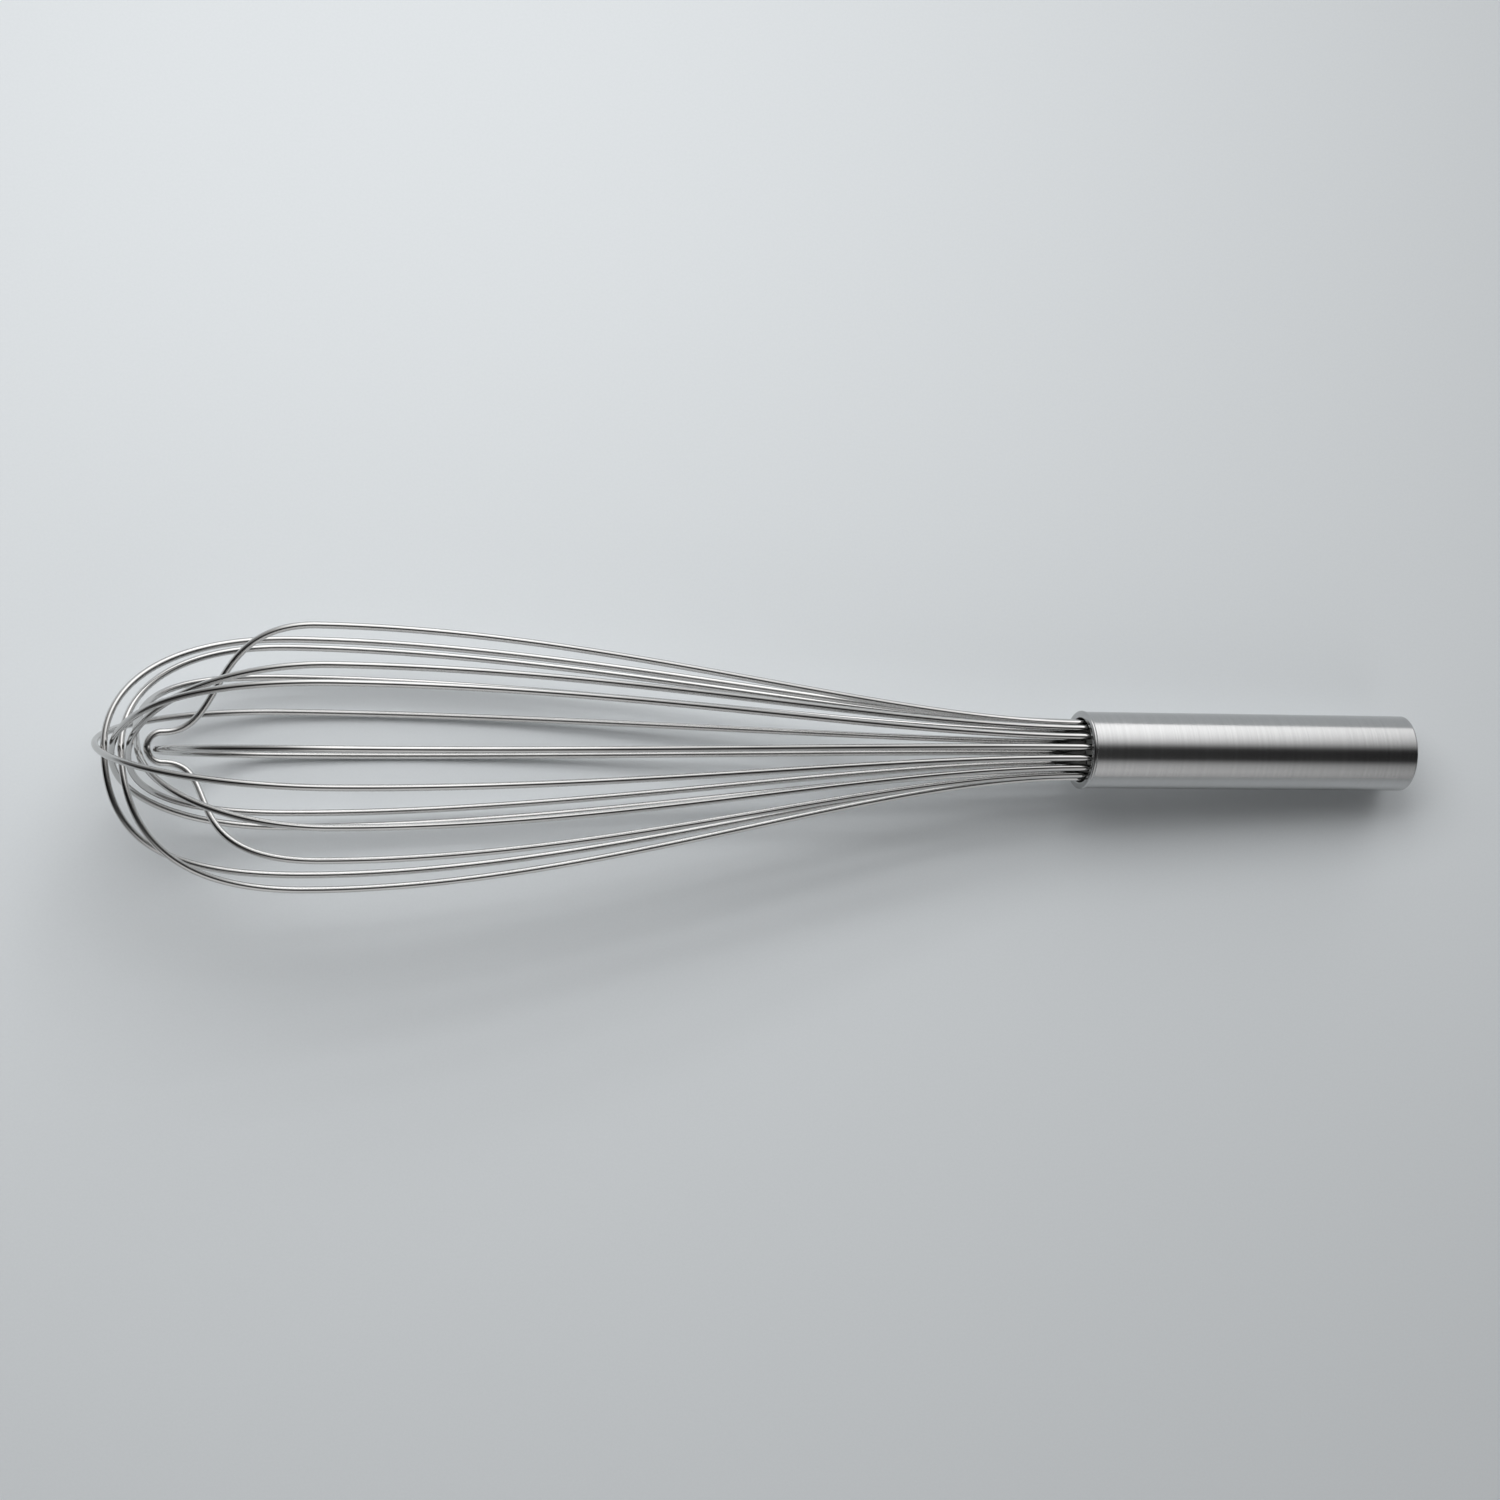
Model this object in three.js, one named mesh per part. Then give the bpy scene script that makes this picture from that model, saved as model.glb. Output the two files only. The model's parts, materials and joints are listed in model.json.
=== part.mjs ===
// French whisk, all stainless steel, lying at rest on its side.
// Millimetres, +X from the wire tips to the butt of the handle, +Z up, origin under the middle.
import * as THREE from 'three';
import { mergeVertices } from 'three/addons/utils/BufferGeometryUtils.js';

// Handle sizes
const HANDLE_DIAMETER = 26;
const HANDLE_LENGTH = 122.3;
const HANDLE_WALL = 1.0;
const LIP_WIDTH = 2.1;
const LIP_LENGTH = 3.0;
const LIP_EDGE = 0.5;
const EDGE_RADIUS = 0.8;

// Wire and balloon sizes
const WIRE_DIAMETER = 2.2;
const BALLOON_LENGTH = 334.2;
const BELLY_RADIUS = 43.5;
const BELLY_SHARE = 0.796;
const SEAT_DEPTH = 40;

// Fits
const CLEARANCE = 0.3;
const SEAL_RECESS = 6;
const SEAL_LENGTH = 26;
const RETAINER_THICKNESS = 2;
const CAP_THICKNESS = 2;
const CAP_SKIRT = 9;

// Mesh fineness
const TURN_STEPS = 48;
const CORNER_STEPS = 4;
const WIRE_SIDES = 8;
const HOLE_SIDES = 12;
const FLANK_STEPS = 12;
const CROWN_STEPS = 16;
const TONGUE_STEPS = 5;

// Ties between the sizes; the wire's section is a polygon drawn round the true circle
const HANDLE_RADIUS = HANDLE_DIAMETER / 2;
const BORE_RADIUS = HANDLE_RADIUS - HANDLE_WALL;
const MOUTH_RADIUS = HANDLE_RADIUS - LIP_WIDTH;
const WIRE_RADIUS = WIRE_DIAMETER / 2;
const SECTION_RADIUS = WIRE_RADIUS / Math.cos(Math.PI / WIRE_SIDES);
const SEAT_RADIUS = MOUTH_RADIUS - CLEARANCE - SECTION_RADIUS;
const PLUG_RADIUS = BORE_RADIUS - CLEARANCE;
const HOLE_RADIUS = SECTION_RADIUS + CLEARANCE;
const BELLY_STATION = BALLOON_LENGTH * BELLY_SHARE;
const TIP_PITCH = 2 * SECTION_RADIUS + CLEARANCE;

// Curve fullness, as shares of each span
const MOUTH_PULL = 0.28;
const BELLY_PULL = 0.36;

// The wires stand in an even ring of seats; angles in degrees from +Y toward +Z
const SEAT_COUNT = 16;
const SEAT_STEP = 360 / SEAT_COUNT;
const FIRST_SEAT = 16.5;

// The necked loop: a narrow tongue at the crown with a reverse bend on each side
const TONGUE_RADIUS = 4.8;
const NECK_PULL = 0.45;
const QUARTER_ROUND = 0.55;

// One entry per loop, outermost tip first; each leg has a seat number, the angle of its
// belly, the belly radius as a share of the nominal radius and the fullness of its crown.
// A shift is how far the tip sits off the axis toward -Y, as a share of the belly radius.
const LOOPS = [
  { legs: [leg(4, 109.5, 0.98, 0.54), leg(12, 282.5, 1.015, 0.5)], shift: 0.05 },
  { legs: [leg(8, 188, 0.99, 0.685), leg(15, 330, 0.87, 0.6)], shift: 0.07 },
  { legs: [leg(2, 66.5, 1.04, 0.6), leg(9, 233, 1.07, 0.61)], shift: 0.03 },
  { legs: [leg(7, 184, 1.09, 0.64), leg(14, 318, 0.94, 0.575)], shift: 0.1 },
  { legs: [leg(1, 57, 1.0, 0.57), leg(10, 239, 1.05, 0.62)], shift: 0.03 },
  { legs: [leg(5, 129.5, 0.965, 0.54), leg(13, 298, 1.02, 0.72)], shift: 0.09 },
  { legs: [leg(6, 154, 0.955, 1.03), leg(0, 22, 0.905, 0.78)], shift: 0.055, necked: true },
  { legs: [leg(3, 93, 1.005, 0.52), leg(11, 264, 1.015, 0.59)], shift: 0.07 },
];

const STEEL_TUBE = { color: 0xb9bcbf, roughness: 0.32, metalness: 1.0 };
const STEEL_WIRE = { color: 0xc9ccce, roughness: 0.18, metalness: 1.0 };
const STEEL_PLATE = { color: 0x9a9da0, roughness: 0.45, metalness: 1.0 };
const RESIN = { color: 0x2e2c29, roughness: 0.7, metalness: 0.0 };

function leg(seat, angle, share, fullness) {
  return { seat, angle, share, fullness };
}

function ringDirection(degrees) {
  const angle = THREE.MathUtils.degToRad(degrees);
  return new THREE.Vector3(0, Math.cos(angle), Math.sin(angle));
}

function onRing(station, radius, degrees) {
  return ringDirection(degrees).multiplyScalar(radius).setX(station);
}

function alongAxis(point, distance) {
  return point.clone().add(new THREE.Vector3(distance, 0, 0));
}

function seatAngle(seat) {
  return FIRST_SEAT + seat * SEAT_STEP;
}

// A wire centre line made of pieces, each walked in its own number of steps
class WireCurve extends THREE.Curve {
  constructor(pieces) {
    super();
    this.pieces = pieces;
    this.stepCount = pieces.reduce((sum, piece) => sum + piece.steps, 0);
  }

  getPoint(t) {
    let step = t * this.stepCount;
    for (const piece of this.pieces) {
      if (step <= piece.steps) return piece.curve.getPoint(step / piece.steps);
      step -= piece.steps;
    }
    return this.pieces[this.pieces.length - 1].curve.getPoint(1);
  }

  getUtoTmapping(u) {
    return u;
  }
}

function bend(start, startPull, endPull, end, steps) {
  return { curve: new THREE.CubicBezierCurve3(start, startPull, endPull, end), steps };
}

function straight(start, end, steps) {
  return { curve: new THREE.LineCurve3(start, end), steps };
}

// Reverses a leg so that a loop can run in one leg and out the other
function reversed(pieces) {
  return pieces.slice().reverse().map(({ curve, steps }) => {
    if (curve.isLineCurve3) return straight(curve.v2, curve.v1, steps);
    return bend(curve.v3, curve.v2, curve.v1, curve.v0, steps);
  });
}

// From the buried end of a leg, through the mouth, out to the belly
function flankPieces({ seat: number, angle, share }) {
  const seat = seatAngle(number);
  const end = onRing(SEAT_DEPTH, SEAT_RADIUS, seat);
  const mouth = onRing(0, SEAT_RADIUS, seat);
  const belly = onRing(-BELLY_STATION, BELLY_RADIUS * share, angle);
  return {
    belly,
    pieces: [
      straight(end, mouth, 1),
      bend(mouth, alongAxis(mouth, -BELLY_STATION * MOUTH_PULL),
        alongAxis(belly, BELLY_STATION * BELLY_PULL), belly, FLANK_STEPS),
    ],
  };
}

// From the belly round the crown to the tip, running along the given direction at the tip
function crownPieces(belly, tip, direction, fullness) {
  const span = belly.x - tip.x;
  const radius = Math.hypot(belly.y, belly.z);
  const crown = tip.clone().addScaledVector(direction, radius * fullness);
  return [bend(belly, alongAxis(belly, -span * fullness), crown, tip, CROWN_STEPS)];
}

// The same for the necked loop: a reverse bend in to the tongue, then a quarter turn round it
function neckedPieces(belly, tip, direction, fullness) {
  const tongue = alongAxis(tip, TONGUE_RADIUS).addScaledVector(direction, TONGUE_RADIUS);
  const span = belly.x - tongue.x;
  const shoulder = alongAxis(belly, -span * fullness);
  const neck = alongAxis(tongue, span * NECK_PULL);
  const round = QUARTER_ROUND * TONGUE_RADIUS;
  const nose = tip.clone().addScaledVector(direction, round);
  return [
    bend(belly, shoulder, neck, tongue, CROWN_STEPS),
    bend(tongue, alongAxis(tongue, -round), nose, tip, TONGUE_STEPS),
  ];
}

function loopCurve({ legs, shift, necked }, order) {
  const station = -BALLOON_LENGTH + SECTION_RADIUS + order * TIP_PITCH;
  const tip = new THREE.Vector3(station, -shift * BELLY_RADIUS, 0);
  const [first, second] = legs.map(flankPieces);
  const across = ringDirection(legs[0].angle).sub(ringDirection(legs[1].angle)).normalize();
  const crown = necked ? neckedPieces : crownPieces;
  const out = [...first.pieces, ...crown(first.belly, tip, across, legs[0].fullness)];
  const back = [...second.pieces, ...crown(second.belly, tip, across.clone().negate(), legs[1].fullness)];
  return new WireCurve([...out, ...reversed(back)]);
}

function circlePoints(radius, sides, centreX = 0, centreY = 0) {
  return Array.from({ length: sides }, (_, index) => {
    const angle = (index / sides) * Math.PI * 2;
    return new THREE.Vector2(centreX + radius * Math.cos(angle), centreY + radius * Math.sin(angle));
  });
}

function wireGeometry(curve) {
  const section = new THREE.Shape(circlePoints(SECTION_RADIUS, WIRE_SIDES));
  const path = { steps: curve.stepCount, extrudePath: curve, bevelEnabled: false };
  return new THREE.ExtrudeGeometry(section, path);
}

// Turns a profile of [station, radius] pairs about the handle axis
function turned(profile) {
  const points = profile.map(([station, radius]) => new THREE.Vector2(radius, station));
  return new THREE.LatheGeometry(points, TURN_STEPS).rotateZ(-Math.PI / 2);
}

// A plug with a hole for every wire, its front face at the given station
function drilledPlug(station, thickness) {
  const outline = new THREE.Shape(circlePoints(PLUG_RADIUS, TURN_STEPS));
  for (let seat = 0; seat < SEAT_COUNT; seat += 1) {
    const centre = onRing(0, SEAT_RADIUS, seatAngle(seat));
    outline.holes.push(new THREE.Path(circlePoints(HOLE_RADIUS, HOLE_SIDES, centre.y, centre.z)));
  }
  const plug = new THREE.ExtrudeGeometry(outline, { depth: thickness, bevelEnabled: false });
  const turn = new THREE.Matrix4().makeBasis(
    new THREE.Vector3(0, 1, 0), new THREE.Vector3(0, 0, 1), new THREE.Vector3(1, 0, 0));
  return plug.applyMatrix4(turn).translate(station, 0, 0);
}

// A rounded corner as a few points from one angle to another, in degrees
function corner(station, radius, size, from, to) {
  return Array.from({ length: CORNER_STEPS + 1 }, (_, index) => {
    const angle = THREE.MathUtils.degToRad(from + ((to - from) * index) / CORNER_STEPS);
    return [station + size * Math.cos(angle), radius + size * Math.sin(angle)];
  });
}

// Tube with a thick flat lip at the mouth and an eased edge at the butt
function handleTubeGeometry() {
  const profile = [
    ...corner(LIP_EDGE, MOUTH_RADIUS + LIP_EDGE, LIP_EDGE, 270, 180),
    ...corner(LIP_EDGE, HANDLE_RADIUS - LIP_EDGE, LIP_EDGE, 180, 90),
    ...corner(HANDLE_LENGTH - EDGE_RADIUS, HANDLE_RADIUS - EDGE_RADIUS, EDGE_RADIUS, 90, 0),
    [HANDLE_LENGTH, BORE_RADIUS],
    [LIP_LENGTH + LIP_WIDTH - HANDLE_WALL, BORE_RADIUS],
    [LIP_LENGTH, MOUTH_RADIUS],
  ];
  return turned([...profile, profile[0]]);
}

// Pressed cup closing the butt, flush with the tube
function endCapGeometry() {
  const skirtBore = PLUG_RADIUS - HANDLE_WALL;
  const inner = HANDLE_LENGTH - CAP_THICKNESS;
  const start = HANDLE_LENGTH - CAP_SKIRT;
  return turned([
    [inner, 0], [inner, skirtBore], [start, skirtBore], [start, PLUG_RADIUS],
    [HANDLE_LENGTH, PLUG_RADIUS], [HANDLE_LENGTH, 0],
  ]);
}

// Angle at which the whisk lies: the butt edge and the lowest wire both touch the table
function lyingAngle(curves) {
  const heelStation = HANDLE_LENGTH - EDGE_RADIUS;
  const angles = curves.flatMap((curve) => curve.getPoints(curve.stepCount)
    .filter((point) => point.x < 0)
    .map((point) => Math.atan2(-HANDLE_RADIUS - (point.z - SECTION_RADIUS), heelStation - point.x)));
  return Math.max(...angles);
}

function piece(name, geometry, look) {
  geometry.deleteAttribute('normal');
  geometry.deleteAttribute('uv');
  const welded = mergeVertices(geometry, 1e-4);
  welded.computeVertexNormals();
  const mesh = new THREE.Mesh(welded, new THREE.MeshStandardMaterial(look));
  mesh.name = name;
  return mesh;
}

const curves = LOOPS.map(loopCurve);
const meshes = [
  piece('handle_tube', handleTubeGeometry(), STEEL_TUBE),
  piece('end_cap', endCapGeometry(), STEEL_TUBE),
  piece('resin_seal', drilledPlug(SEAL_RECESS, SEAL_LENGTH), RESIN),
  piece('wire_retainer', drilledPlug(SEAL_RECESS + SEAL_LENGTH + CLEARANCE, RETAINER_THICKNESS), STEEL_PLATE),
  ...curves.map((curve, index) => piece(`wire_loop_${index + 1}`, wireGeometry(curve), STEEL_WIRE)),
];

// Lay the whisk down and put the origin under the middle of its box
const lie = new THREE.Matrix4().makeRotationY(lyingAngle(curves));
meshes.forEach((mesh) => mesh.geometry.applyMatrix4(lie));
const whisk = new THREE.Group();
whisk.name = 'french_whisk';
whisk.add(...meshes);
const box = new THREE.Box3().setFromObject(whisk);
const middle = box.getCenter(new THREE.Vector3());
meshes.forEach((mesh) => mesh.geometry.translate(-middle.x, -middle.y, -box.min.z));

export default whisk;
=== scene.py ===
"""French whisk lying on a pale table, seen from above and a little from its tip."""
import json
import math

import bpy
from mathutils import Matrix, Vector
from mathutils.geometry import interpolate_bezier


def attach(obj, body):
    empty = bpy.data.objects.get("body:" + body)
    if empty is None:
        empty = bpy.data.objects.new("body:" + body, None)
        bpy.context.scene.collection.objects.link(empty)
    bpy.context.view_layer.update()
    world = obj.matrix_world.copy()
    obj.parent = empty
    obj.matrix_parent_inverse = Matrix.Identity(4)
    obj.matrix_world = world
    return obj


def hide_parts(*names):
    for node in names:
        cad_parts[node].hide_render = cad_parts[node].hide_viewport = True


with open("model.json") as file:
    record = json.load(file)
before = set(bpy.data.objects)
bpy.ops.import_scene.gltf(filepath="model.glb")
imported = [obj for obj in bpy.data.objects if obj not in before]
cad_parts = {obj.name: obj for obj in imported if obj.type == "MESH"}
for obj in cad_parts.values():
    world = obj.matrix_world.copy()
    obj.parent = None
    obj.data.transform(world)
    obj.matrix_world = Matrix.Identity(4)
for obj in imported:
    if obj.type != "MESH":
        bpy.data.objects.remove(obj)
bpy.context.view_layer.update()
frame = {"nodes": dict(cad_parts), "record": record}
scene = bpy.context.scene
scene.view_settings.view_transform = "Standard"

MM = 0.001

# Handle sizes; the cap's profile starts a hair off the axis
HANDLE_RADIUS = 13 * MM
HANDLE_LENGTH = 122.3 * MM
HANDLE_WALL = 1.0 * MM
LIP_WIDTH = 2.1 * MM
LIP_LENGTH = 3.0 * MM
LIP_EDGE = 0.5 * MM
LIP_FLARE = 0.35 * MM
LIP_BEAD = 0.8 * MM
EDGE_RADIUS = 0.8 * MM
CAP_EDGE = 0.25 * MM
CAP_THICKNESS = 2.0 * MM
CAP_SKIRT = 9 * MM
CAP_CENTRE = 0.02 * MM
CLEARANCE = 0.3 * MM

# Wire and balloon sizes; the seats leave room for the solid's eight-sided section
WIRE_RADIUS = 1.1 * MM
SOLID_SIDES = 8
SECTION_RADIUS = WIRE_RADIUS / math.cos(math.pi / SOLID_SIDES)
BALLOON_LENGTH = 334.2 * MM
BELLY_RADIUS = 43.5 * MM
BELLY_SHARE = 0.796
BELLY_STATION = BALLOON_LENGTH * BELLY_SHARE
SEAT_DEPTH = 40 * MM
SEAT_RADIUS = HANDLE_RADIUS - LIP_WIDTH - CLEARANCE - SECTION_RADIUS
TIP_PITCH = 2 * SECTION_RADIUS + CLEARANCE
MOUTH_PULL = 0.28
BELLY_PULL = 0.36

# Ring of seats at the mouth, in degrees from +Y toward +Z
SEAT_STEP = 22.5
FIRST_SEAT = 16.5

# Narrow tongue of the necked loop
TONGUE_RADIUS = 4.8 * MM
NECK_PULL = 0.45
QUARTER_ROUND = 0.55

# Legs of each loop, outermost tip first: seat, belly angle, belly share, crown fullness;
# then how far the tip sits off the axis toward -Y, as a share of the belly radius
LOOPS = [
    ((4, 109.5, 0.98, 0.54), (12, 282.5, 1.015, 0.5), 0.05),
    ((8, 188, 0.99, 0.685), (15, 330, 0.87, 0.6), 0.07),
    ((2, 66.5, 1.04, 0.6), (9, 233, 1.07, 0.61), 0.03),
    ((7, 184, 1.09, 0.64), (14, 318, 0.94, 0.575), 0.1),
    ((1, 57, 1.0, 0.57), (10, 239, 1.05, 0.62), 0.03),
    ((5, 129.5, 0.965, 0.54), (13, 298, 1.02, 0.72), 0.09),
    ((6, 154, 0.955, 1.03), (0, 22, 0.905, 0.78), 0.055),
    ((3, 93, 1.005, 0.52), (11, 264, 1.015, 0.59), 0.07),
]
NECKED_LOOP = 6

# Mesh fineness, and the angle from which an edge is sharp
WIRE_SIDES = 24
FLANK_POINTS = 48
CROWN_POINTS = 64
TONGUE_POINTS = 20
TURN_SIDES = 160
CORNER_STEPS = 10
SHARP_ANGLE = math.radians(40)

# The butt mount gives the whisk's axis in the shared frame; small insets keep inside its box
INSET = 0.01 * MM
TIP_INSET = 0.07 * MM
butt = frame["record"]["mounts"][0]
AXIS = Vector(butt["axis"]).normalized()
ACROSS = Vector((0, 1, 0))
RISE = AXIS.cross(ACROSS)
MOUTH = Vector(butt["pos_m"]) - AXIS * (HANDLE_LENGTH + INSET)


def direction_in_frame(vector):
    """Takes a direction from the whisk's own axes to the shared frame."""
    return AXIS * vector[0] + ACROSS * vector[1] + RISE * vector[2]


def in_frame(point):
    """Takes a point from the whisk's own axes (mouth at zero) to the shared frame."""
    return MOUTH + direction_in_frame(point)


def ring_direction(degrees):
    angle = math.radians(degrees)
    return Vector((0, math.cos(angle), math.sin(angle)))


def on_ring(station, radius, degrees):
    """Point at a station along the axis, a radius and an angle from it."""
    point = ring_direction(degrees) * radius
    point.x = station
    return point


def along(point, distance):
    return point + Vector((distance, 0, 0))


def flank(leg):
    """Points from the buried end of a leg out to its belly."""
    seat, angle, share, _ = leg
    seat_angle = FIRST_SEAT + seat * SEAT_STEP
    end = on_ring(SEAT_DEPTH, SEAT_RADIUS, seat_angle)
    mouth = on_ring(0, SEAT_RADIUS, seat_angle)
    belly = on_ring(-BELLY_STATION, BELLY_RADIUS * share, angle)
    start_pull = along(mouth, -BELLY_STATION * MOUTH_PULL)
    end_pull = along(belly, BELLY_STATION * BELLY_PULL)
    return [end] + interpolate_bezier(mouth, start_pull, end_pull, belly, FLANK_POINTS)


def crown(belly, tip, direction, fullness):
    """Points from the belly round the crown to the tip."""
    span = belly.x - tip.x
    radius = math.hypot(belly.y, belly.z)
    start_pull = along(belly, -span * fullness)
    end_pull = tip + direction * radius * fullness
    return interpolate_bezier(belly, start_pull, end_pull, tip, CROWN_POINTS)[1:]


def necked_crown(belly, tip, direction, fullness):
    """The same with a reverse bend into a narrow tongue and a quarter turn round it."""
    tongue = along(tip, TONGUE_RADIUS) + direction * TONGUE_RADIUS
    span = belly.x - tongue.x
    shoulder = along(belly, -span * fullness)
    neck = along(tongue, span * NECK_PULL)
    rounding = QUARTER_ROUND * TONGUE_RADIUS
    nose = tip + direction * rounding
    points = interpolate_bezier(belly, shoulder, neck, tongue, CROWN_POINTS)[1:]
    points += interpolate_bezier(tongue, along(tongue, -rounding), nose, tip, TONGUE_POINTS)[1:]
    return points


def loop_points(order, legs, shift):
    """Centre line of one loop, in one leg and out of the other."""
    station = -BALLOON_LENGTH + SECTION_RADIUS + TIP_INSET + order * TIP_PITCH
    tip = Vector((station, -shift * BELLY_RADIUS, 0))
    shape = necked_crown if order == NECKED_LOOP else crown
    across = (ring_direction(legs[0][1]) - ring_direction(legs[1][1])).normalized()
    sides = []
    for leg, direction in zip(legs, (across, -across)):
        points = flank(leg)
        sides.append(points + shape(points[-1], tip, direction, leg[3]))
    return sides[0] + sides[1][-2::-1]


def turn_point(share):
    """Point on the unit circle for a share of a full turn."""
    angle = 2 * math.pi * share
    return math.cos(angle), math.sin(angle)


def finish_mesh(name, vertices, faces, corners):
    """Makes a smooth mesh object; each face corner has a length and a share of a turn."""
    mesh = bpy.data.meshes.new(name)
    mesh.from_pydata(vertices, [], faces)
    run = mesh.uv_layers.new(name="run")
    ring = mesh.uv_layers.new(name="ring")
    for run_loop, ring_loop, (length, share) in zip(run.data, ring.data, corners):
        run_loop.uv = (length, share)
        ring_loop.uv = turn_point(share)
    mesh.polygons.foreach_set("use_smooth", [True] * len(mesh.polygons))
    mesh.update()
    piece = bpy.data.objects.new(name, mesh)
    scene.collection.objects.link(piece)
    return piece


def wire(name, points):
    """Round wire along a line of points."""
    vertices, faces, corners = [], [], []
    side = Vector((0, 0, 1))
    run = 0.0
    runs = []
    for index, point in enumerate(points):
        before = points[max(index - 1, 0)]
        after = points[min(index + 1, len(points) - 1)]
        tangent = (after - before).normalized()
        side = (side - tangent * side.dot(tangent)).normalized()
        other = tangent.cross(side)
        run += (point - before).length
        runs.append(run)
        for step in range(WIRE_SIDES):
            cosine, sine = turn_point(step / WIRE_SIDES)
            vertices.append(in_frame(point + (side * cosine + other * sine) * WIRE_RADIUS))
    for ring in range(len(points) - 1):
        low, high = ring * WIRE_SIDES, (ring + 1) * WIRE_SIDES
        for step in range(WIRE_SIDES):
            turn = (step + 1) % WIRE_SIDES
            faces.append((low + step, low + turn, high + turn, high + step))
            left, right = step / WIRE_SIDES, (step + 1) / WIRE_SIDES
            corners += [(runs[ring], left), (runs[ring], right)]
            corners += [(runs[ring + 1], right), (runs[ring + 1], left)]
    last = len(vertices) - WIRE_SIDES
    faces.append(tuple(range(WIRE_SIDES - 1, -1, -1)))
    faces.append(tuple(range(last, last + WIRE_SIDES)))
    corners += [(0, 0)] * WIRE_SIDES + [(run, 0)] * WIRE_SIDES
    return finish_mesh(name, vertices, faces, corners)


def turned(name, profile):
    """Turns a closed profile of (station, radius) pairs about the handle axis."""
    vertices, faces, corners = [], [], []
    count = len(profile)
    for step in range(TURN_SIDES):
        degrees = 360 * step / TURN_SIDES
        vertices += [in_frame(on_ring(station, radius, degrees)) for station, radius in profile]
    for step in range(TURN_SIDES):
        low, high = step * count, ((step + 1) % TURN_SIDES) * count
        left, right = step / TURN_SIDES, (step + 1) / TURN_SIDES
        for index in range(count):
            turn = (index + 1) % count
            faces.append((low + index, high + index, high + turn, low + turn))
            here, there = profile[index][0], profile[turn][0]
            corners += [(here, left), (here, right), (there, right), (there, left)]
    piece = finish_mesh(name, vertices, faces, corners)
    piece.data.set_sharp_from_angle(angle=SHARP_ANGLE)
    return piece


def rounded(station, radius, size, start, end):
    """Points round a corner, from one angle to another in degrees."""
    steps = range(CORNER_STEPS + 1)
    angles = [math.radians(start + (end - start) * step / CORNER_STEPS) for step in steps]
    return [(station + size * math.cos(angle), radius + size * math.sin(angle)) for angle in angles]


def handle_profile():
    """Section of the tube: rolled lip with its bead, eased butt edge, then the bore."""
    bore = HANDLE_RADIUS - HANDLE_WALL
    mouth = HANDLE_RADIUS - LIP_WIDTH
    points = rounded(LIP_EDGE, mouth + LIP_EDGE, LIP_EDGE, 270, 180)
    bead_end = math.degrees(math.asin(1 - LIP_FLARE / LIP_BEAD))
    points += rounded(LIP_BEAD, HANDLE_RADIUS + LIP_FLARE - LIP_BEAD, LIP_BEAD, 180, bead_end)
    points += rounded(HANDLE_LENGTH - EDGE_RADIUS, HANDLE_RADIUS - EDGE_RADIUS, EDGE_RADIUS, 90, 0)
    points += [(HANDLE_LENGTH, bore), (LIP_LENGTH + LIP_WIDTH - HANDLE_WALL, bore)]
    points += [(LIP_LENGTH, mouth)]
    return points


def cap_profile():
    """Section of the cup that closes the butt."""
    plug = HANDLE_RADIUS - HANDLE_WALL - CLEARANCE
    skirt_bore = plug - HANDLE_WALL
    skirt = HANDLE_LENGTH - CAP_SKIRT
    inner = HANDLE_LENGTH - CAP_THICKNESS
    points = [(inner, CAP_CENTRE), (inner, skirt_bore), (skirt, skirt_bore), (skirt, plug)]
    points += rounded(HANDLE_LENGTH - CAP_EDGE, plug - CAP_EDGE, CAP_EDGE, 90, 0)
    points += [(HANDLE_LENGTH, CAP_CENTRE)]
    return points


# Part of a noise's range that is used, and how fine its detail is
NOISE_LOW = 0.3
NOISE_HIGH = 0.7
LINE_DETAIL = 3.0
GRAIN_DETAIL = 4.0

# Brushed tube: noise scales along the run and round the ring, smudge scale, tones,
# roughness, and strength and depth of the bump
TUBE_FINE = (3000, 0.25)
TUBE_COARSE = (900, 0.15)
TUBE_LINE_SHARE = 0.5
TUBE_SMUDGE = 45
TUBE_DARK = (0.472, 0.474, 0.475)
TUBE_LIGHT = (0.508, 0.51, 0.511)
TUBE_ROUGH = (0.15, 0.20)
TUBE_SMUDGE_ROUGH = (0, 0.04)
TUBE_BUMP = (0.06, 0.02 * MM)

# Drawn wire, the same
WIRE_LINES = (40, 4)
WIRE_SMUDGE = 60
WIRE_DARK = (0.56, 0.556, 0.548)
WIRE_LIGHT = (0.63, 0.626, 0.618)
WIRE_ROUGH = (0.07, 0.1)
WIRE_SMUDGE_ROUGH = (0, 0.03)
WIRE_BUMP = (0.04, 0.02 * MM)

# Cast resin and cut plate, with a grain scale
RESIN_GRAIN = 900
RESIN_DARK = (0.25, 0.248, 0.24)
RESIN_LIGHT = (0.33, 0.328, 0.32)
RESIN_ROUGH = (0.45, 0.65)
RESIN_BUMP = (0.3, 0.2 * MM)
PLATE_GRAIN = 700
PLATE_DARK = (0.36, 0.36, 0.36)
PLATE_LIGHT = (0.45, 0.45, 0.45)
PLATE_ROUGH = (0.4, 0.55)


def material(name):
    """New material with its node tree and its shader."""
    made = bpy.data.materials.new(name)
    made.use_nodes = True
    shader = made.node_tree.nodes["Principled BSDF"]
    return made, made.node_tree, shader


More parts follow.
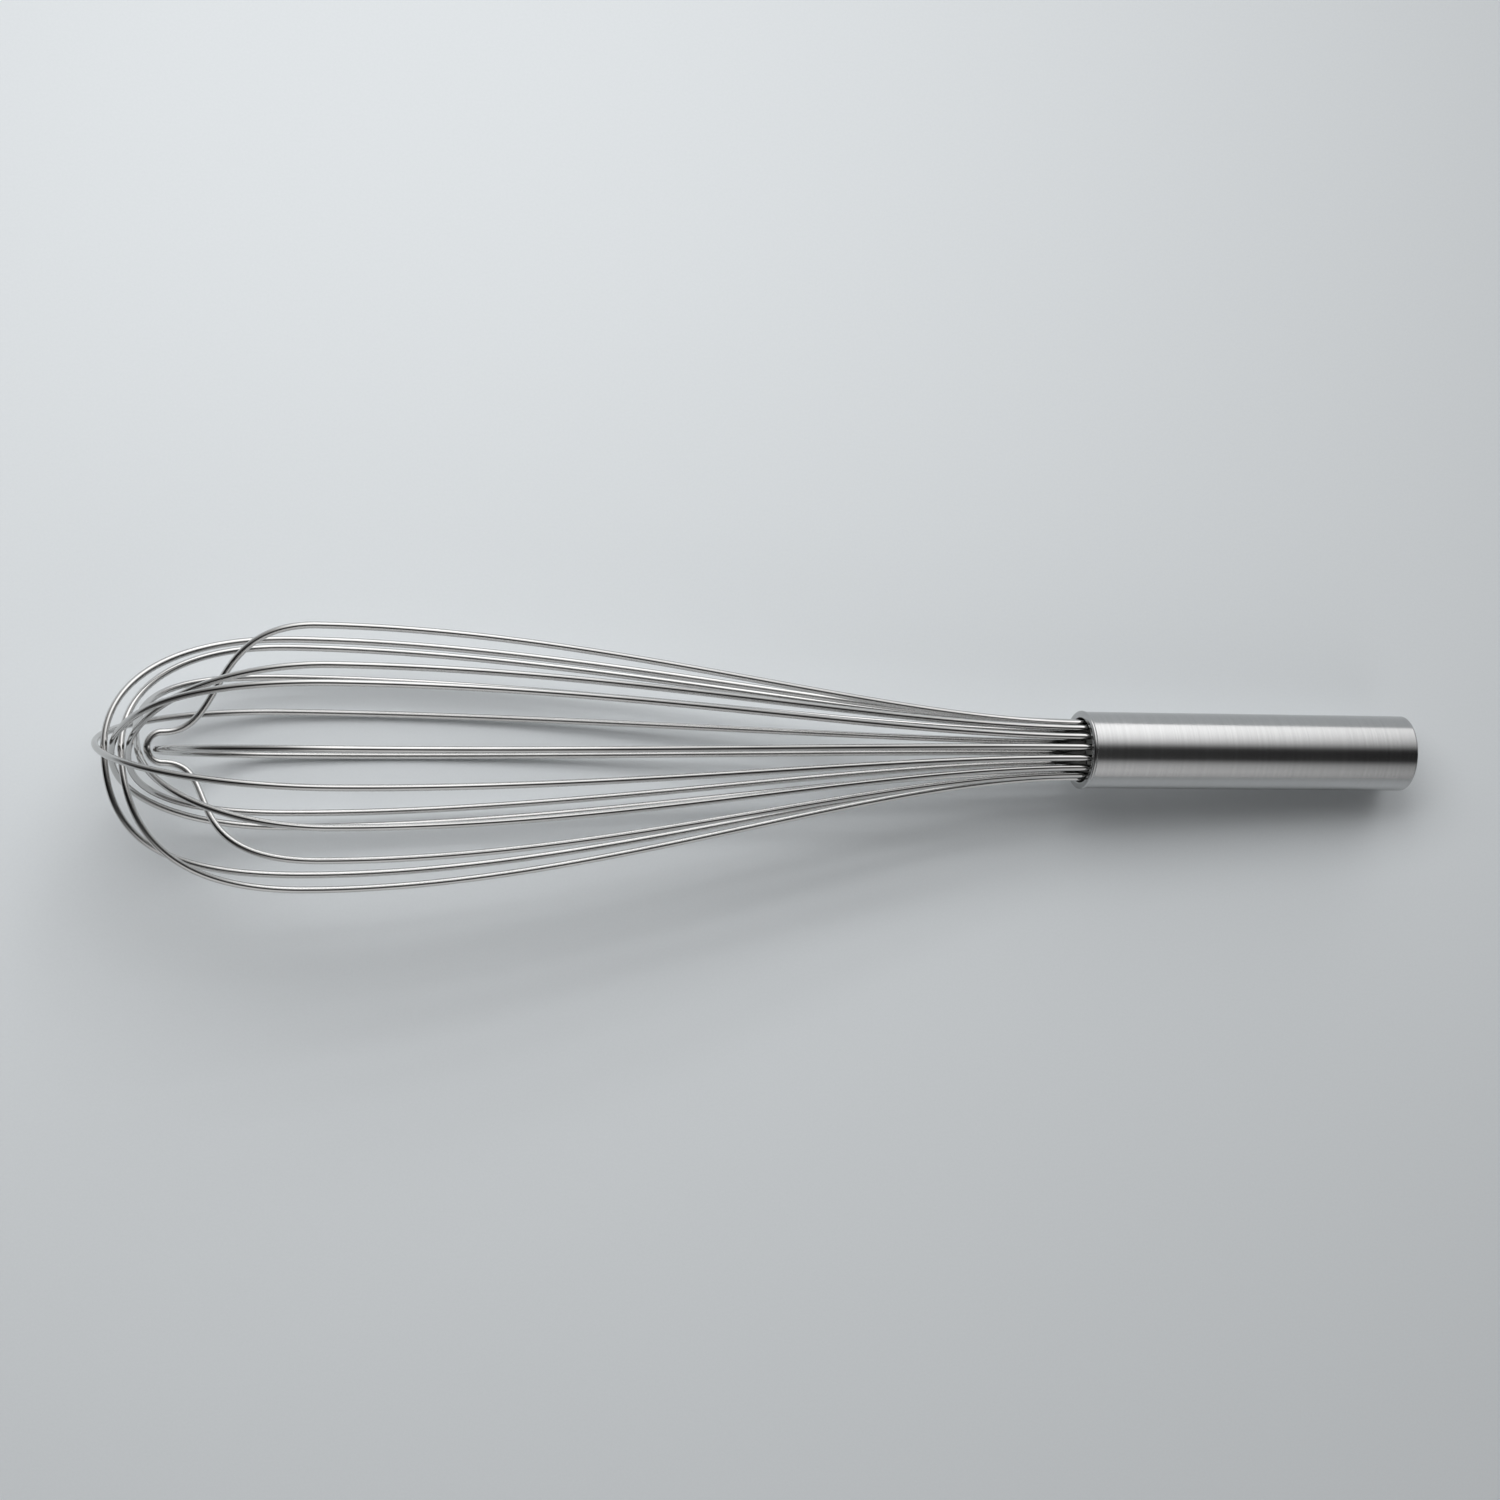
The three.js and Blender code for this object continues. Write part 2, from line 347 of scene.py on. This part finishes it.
def surface_noise(tree, run_scale, ring_scale):
    """Noise over a wire or tube, with its own scale along the run and round the ring."""
    run = tree.nodes.new("ShaderNodeUVMap")
    run.uv_map = "run"
    ring = tree.nodes.new("ShaderNodeUVMap")
    ring.uv_map = "ring"
    split_run = tree.nodes.new("ShaderNodeSeparateXYZ")
    split_ring = tree.nodes.new("ShaderNodeSeparateXYZ")
    join = tree.nodes.new("ShaderNodeCombineXYZ")
    mapping = tree.nodes.new("ShaderNodeMapping")
    mapping.inputs["Scale"].default_value = (run_scale, ring_scale, ring_scale)
    noise = tree.nodes.new("ShaderNodeTexNoise")
    noise.inputs["Scale"].default_value = 1.0
    noise.inputs["Detail"].default_value = LINE_DETAIL
    tree.links.new(run.outputs["UV"], split_run.inputs["Vector"])
    tree.links.new(ring.outputs["UV"], split_ring.inputs["Vector"])
    tree.links.new(split_run.outputs["X"], join.inputs["X"])
    tree.links.new(split_ring.outputs["X"], join.inputs["Y"])
    tree.links.new(split_ring.outputs["Y"], join.inputs["Z"])
    tree.links.new(join.outputs["Vector"], mapping.inputs["Vector"])
    tree.links.new(mapping.outputs["Vector"], noise.inputs["Vector"])
    return noise.outputs["Fac"]


def cloudy_noise(tree, scale):
    """Noise over the object's own space."""
    place = tree.nodes.new("ShaderNodeTexCoord")
    noise = tree.nodes.new("ShaderNodeTexNoise")
    noise.inputs["Scale"].default_value = scale
    noise.inputs["Detail"].default_value = GRAIN_DETAIL
    tree.links.new(place.outputs["Object"], noise.inputs["Vector"])
    return noise.outputs["Fac"]


def spread(tree, value, low, high, start=NOISE_LOW, end=NOISE_HIGH):
    """Spreads a noise value over a range of numbers."""
    node = tree.nodes.new("ShaderNodeMapRange")
    node.inputs["From Min"].default_value = start
    node.inputs["From Max"].default_value = end
    node.inputs["To Min"].default_value = low
    node.inputs["To Max"].default_value = high
    tree.links.new(value, node.inputs["Value"])
    return node.outputs["Result"]


def add(tree, first, second):
    node = tree.nodes.new("ShaderNodeMath")
    node.operation = "ADD"
    tree.links.new(first, node.inputs[0])
    tree.links.new(second, node.inputs[1])
    return node.outputs["Value"]


def tint(tree, value, dark, light):
    """Colour that runs between two tones with a noise value."""
    node = tree.nodes.new("ShaderNodeValToRGB")
    node.color_ramp.elements[0].position = NOISE_LOW
    node.color_ramp.elements[1].position = NOISE_HIGH
    node.color_ramp.elements[0].color = (*dark, 1)
    node.color_ramp.elements[1].color = (*light, 1)
    tree.links.new(value, node.inputs["Fac"])
    return node.outputs["Color"]


def bump(tree, value, shader, strength, distance):
    """Fine relief from a noise value."""
    node = tree.nodes.new("ShaderNodeBump")
    node.inputs["Strength"].default_value = strength
    node.inputs["Distance"].default_value = distance
    tree.links.new(value, node.inputs["Height"])
    tree.links.new(node.outputs["Normal"], shader.inputs["Normal"])


def brushed_tube():
    """Stainless tube with fine brushing round it and faint smudges."""
    made, tree, shader = material("brushed_tube")
    fine = spread(tree, surface_noise(tree, *TUBE_FINE), 0, TUBE_LINE_SHARE)
    coarse = spread(tree, surface_noise(tree, *TUBE_COARSE), 0, TUBE_LINE_SHARE)
    smudge = cloudy_noise(tree, TUBE_SMUDGE)
    lines = add(tree, fine, coarse)
    shader.inputs["Metallic"].default_value = 1.0
    tone = tint(tree, lines, TUBE_DARK, TUBE_LIGHT)
    tree.links.new(tone, shader.inputs["Base Color"])
    line_rough = spread(tree, lines, *TUBE_ROUGH, 0, 1)
    rough = add(tree, line_rough, spread(tree, smudge, *TUBE_SMUDGE_ROUGH))
    tree.links.new(rough, shader.inputs["Roughness"])
    bump(tree, lines, shader, *TUBE_BUMP)
    return made


def drawn_wire():
    """Polished drawn wire with faint lines along its length."""
    made, tree, shader = material("drawn_wire")
    lines = surface_noise(tree, *WIRE_LINES)
    smudge = cloudy_noise(tree, WIRE_SMUDGE)
    shader.inputs["Metallic"].default_value = 1.0
    tone = tint(tree, smudge, WIRE_DARK, WIRE_LIGHT)
    tree.links.new(tone, shader.inputs["Base Color"])
    line_rough = spread(tree, lines, *WIRE_ROUGH)
    rough = add(tree, line_rough, spread(tree, smudge, *WIRE_SMUDGE_ROUGH))
    tree.links.new(rough, shader.inputs["Roughness"])
    bump(tree, lines, shader, *WIRE_BUMP)
    return made


def cast_resin():
    """Grey resin with a slightly grainy face."""
    made, tree, shader = material("cast_resin")
    grain = cloudy_noise(tree, RESIN_GRAIN)
    tone = tint(tree, grain, RESIN_DARK, RESIN_LIGHT)
    tree.links.new(tone, shader.inputs["Base Color"])
    tree.links.new(spread(tree, grain, *RESIN_ROUGH), shader.inputs["Roughness"])
    bump(tree, grain, shader, *RESIN_BUMP)
    return made


def cut_plate():
    """Dull steel plate."""
    made, tree, shader = material("cut_plate")
    grain = cloudy_noise(tree, PLATE_GRAIN)
    shader.inputs["Metallic"].default_value = 1.0
    tone = tint(tree, grain, PLATE_DARK, PLATE_LIGHT)
    tree.links.new(tone, shader.inputs["Base Color"])
    tree.links.new(spread(tree, grain, *PLATE_ROUGH), shader.inputs["Roughness"])
    return made


def dress(node, made):
    """Gives a CAD node a procedural material."""
    for slot in frame["nodes"][node].material_slots:
        slot.material = made


def settle(piece, node, made):
    """Puts a finished piece in the place of its CAD node."""
    piece.data.materials.append(made)
    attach(piece, "root")
    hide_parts(node)


# Wire loops
wire_steel = drawn_wire()
for order, (*legs, shift) in enumerate(LOOPS):
    loop = wire(f"wire_{order + 1}", loop_points(order, legs, shift))
    settle(loop, f"wire_loop_{order + 1}", wire_steel)

# Handle tube, its cap and what fills its mouth
tube_steel = brushed_tube()
settle(turned("tube", handle_profile()), "handle_tube", tube_steel)
settle(turned("butt_cap", cap_profile()), "end_cap", tube_steel)
dress("resin_seal", cast_resin())
dress("wire_retainer", cut_plate())

# Table of matt, faintly grainy paper
FLOOR_SIZE = 400.0
PAPER_GRAIN = 1200
PAPER_DARK = (0.755, 0.788, 0.81)
PAPER_LIGHT = (0.77, 0.803, 0.825)
PAPER_ROUGH = 0.9
PAPER_SPECULAR = 0.2
half = FLOOR_SIZE / 2
table_corners = [(-half, -half, 0), (half, -half, 0), (half, half, 0), (-half, half, 0)]
table_mesh = bpy.data.meshes.new("table")
table_mesh.from_pydata(table_corners, [], [(0, 1, 2, 3)])
table = bpy.data.objects.new("table", table_mesh)
scene.collection.objects.link(table)
paper, paper_tree, paper_shader = material("table_paper")
paper_grain = cloudy_noise(paper_tree, PAPER_GRAIN)
paper_tone = tint(paper_tree, paper_grain, PAPER_DARK, PAPER_LIGHT)
paper_tree.links.new(paper_tone, paper_shader.inputs["Base Color"])
paper_shader.inputs["Roughness"].default_value = PAPER_ROUGH
paper_shader.inputs["Specular IOR Level"].default_value = PAPER_SPECULAR
table_mesh.materials.append(paper)

# Studio round the whisk, by the angle from overhead toward +Y: grey wall on the -Y side,
# dark ceiling, and a bright wall on the +Y side that is brightest low down
WALL_TONES = [
    (-90, 0.56),
    (-66, 0.82),
    (-45, 0.70),
    (-36, 0.43),
    (-27, 0.06),
    (5, 0.05),
    (12, 0.16),
    (20, 0.64),
    (30, 1.18),
    (42, 1.62),
    (56, 1.90),
    (70, 2.00),
    (82, 1.98),
    (95, 1.98),
]
# Share of those tones left toward the ends of the studio, by how far +X a direction points
END_SHARES = [
    (-0.8, 0.08),
    (-0.3, 0.32),
    (0.05, 0.9),
    (0.2, 1),
    (0.4, 1),
    (0.52, 0.78),
    (0.68, 0.25),
]
world = bpy.data.worlds.new("studio")
scene.world = world
world.use_nodes = True
sky = world.node_tree


def sky_ramp(value, low, high, stops):
    """Grey tones that run with a value through a list of (value, tone) stops."""
    node = sky.nodes.new("ShaderNodeValToRGB")
    sky.links.new(spread(sky, value, 0, 1, low, high), node.inputs["Fac"])
    elements = node.color_ramp.elements
    for index, (place, tone) in enumerate(stops):
        share = (place - low) / (high - low)
        stop = elements[index] if index < len(elements) else elements.new(share)
        stop.position = share
        stop.color = (tone, tone, tone, 1)
    return node.outputs["Color"]


sky_place = sky.nodes.new("ShaderNodeTexCoord")
sky_split = sky.nodes.new("ShaderNodeSeparateXYZ")
sky_turn = sky.nodes.new("ShaderNodeMath")
sky_turn.operation = "ARCTAN2"
sky.links.new(sky_place.outputs["Generated"], sky_split.inputs["Vector"])
sky.links.new(sky_split.outputs["Y"], sky_turn.inputs[0])
sky.links.new(sky_split.outputs["Z"], sky_turn.inputs[1])
wall_stops = [(math.radians(degrees), tone) for degrees, tone in WALL_TONES]
walls = sky_ramp(sky_turn.outputs["Value"], -math.pi, math.pi, wall_stops)
ends = sky_ramp(sky_split.outputs["X"], -1, 1, END_SHARES)
sky_mix = sky.nodes.new("ShaderNodeMix")
sky_mix.data_type = "RGBA"
sky_mix.blend_type = "MULTIPLY"
sky_mix.inputs["Factor"].default_value = 1.0
sky.links.new(walls, sky_mix.inputs["A"])
sky.links.new(ends, sky_mix.inputs["B"])

# Plain grey beyond the table, as the camera sees it
BACKDROP_TONE = (0.27, 0.28, 0.284, 1)
sky_ray = sky.nodes.new("ShaderNodeLightPath")
sky_view = sky.nodes.new("ShaderNodeMix")
sky_view.data_type = "RGBA"
sky_view.inputs["B"].default_value = BACKDROP_TONE
sky.links.new(sky_ray.outputs["Is Camera Ray"], sky_view.inputs["Factor"])
sky.links.new(sky_mix.outputs["Result"], sky_view.inputs["A"])
sky.links.new(sky_view.outputs["Result"], sky.nodes["Background"].inputs["Color"])

# Wide soft panel above the +Y side
KEY_PLACE = Vector((-0.22, 0.44, 0.61))
KEY_TARGET = Vector((-0.04, 0.02, 0))
KEY_WIDTH = 0.7
KEY_HEIGHT = 0.42
KEY_SPREAD = math.radians(130)
KEY_WATTS = 2.08
key = bpy.data.lights.new("key", "AREA")
key.shape = "RECTANGLE"
key.size = KEY_WIDTH
key.size_y = KEY_HEIGHT
key.spread = KEY_SPREAD
key.energy = KEY_WATTS
key_panel = bpy.data.objects.new("key", key)
key_panel.location = KEY_PLACE
key_panel.rotation_euler = (KEY_TARGET - KEY_PLACE).to_track_quat("-Z", "Y").to_euler()
key_panel.visible_camera = False
key_panel.visible_glossy = False
scene.collection.objects.link(key_panel)

# Camera above the whisk, leaning toward its tip, with a long lens
IMAGE_SIZE = 1500
SENSOR_WIDTH = 36
FOCAL_PIXELS = 3800
CAMERA_TILT = math.radians(18.5)
CAMERA_YAW = math.radians(-0.62)
MOUTH_PIXEL = (1079.0, 749.9)
PIXELS_PER_METRE = 2946
tilt_cos, tilt_sin = math.cos(CAMERA_TILT), math.sin(CAMERA_TILT)
yaw_cos, yaw_sin = math.cos(CAMERA_YAW), math.sin(CAMERA_YAW)
right = direction_in_frame((yaw_cos * tilt_cos, -yaw_sin, yaw_cos * tilt_sin))
up = direction_in_frame((yaw_sin * tilt_cos, yaw_cos, yaw_sin * tilt_sin))
back = direction_in_frame((-tilt_sin, 0, tilt_cos))
aside = (MOUTH_PIXEL[0] - IMAGE_SIZE / 2) / PIXELS_PER_METRE
above = (IMAGE_SIZE / 2 - MOUTH_PIXEL[1]) / PIXELS_PER_METRE
distance = FOCAL_PIXELS / PIXELS_PER_METRE
lens = bpy.data.cameras.new("camera")
lens.sensor_width = SENSOR_WIDTH
lens.lens = SENSOR_WIDTH * FOCAL_PIXELS / IMAGE_SIZE
camera = bpy.data.objects.new("camera", lens)
camera.rotation_euler = Matrix((right, up, back)).transposed().to_euler()
camera.location = MOUTH - right * aside - up * above + back * distance
scene.collection.objects.link(camera)
scene.camera = camera
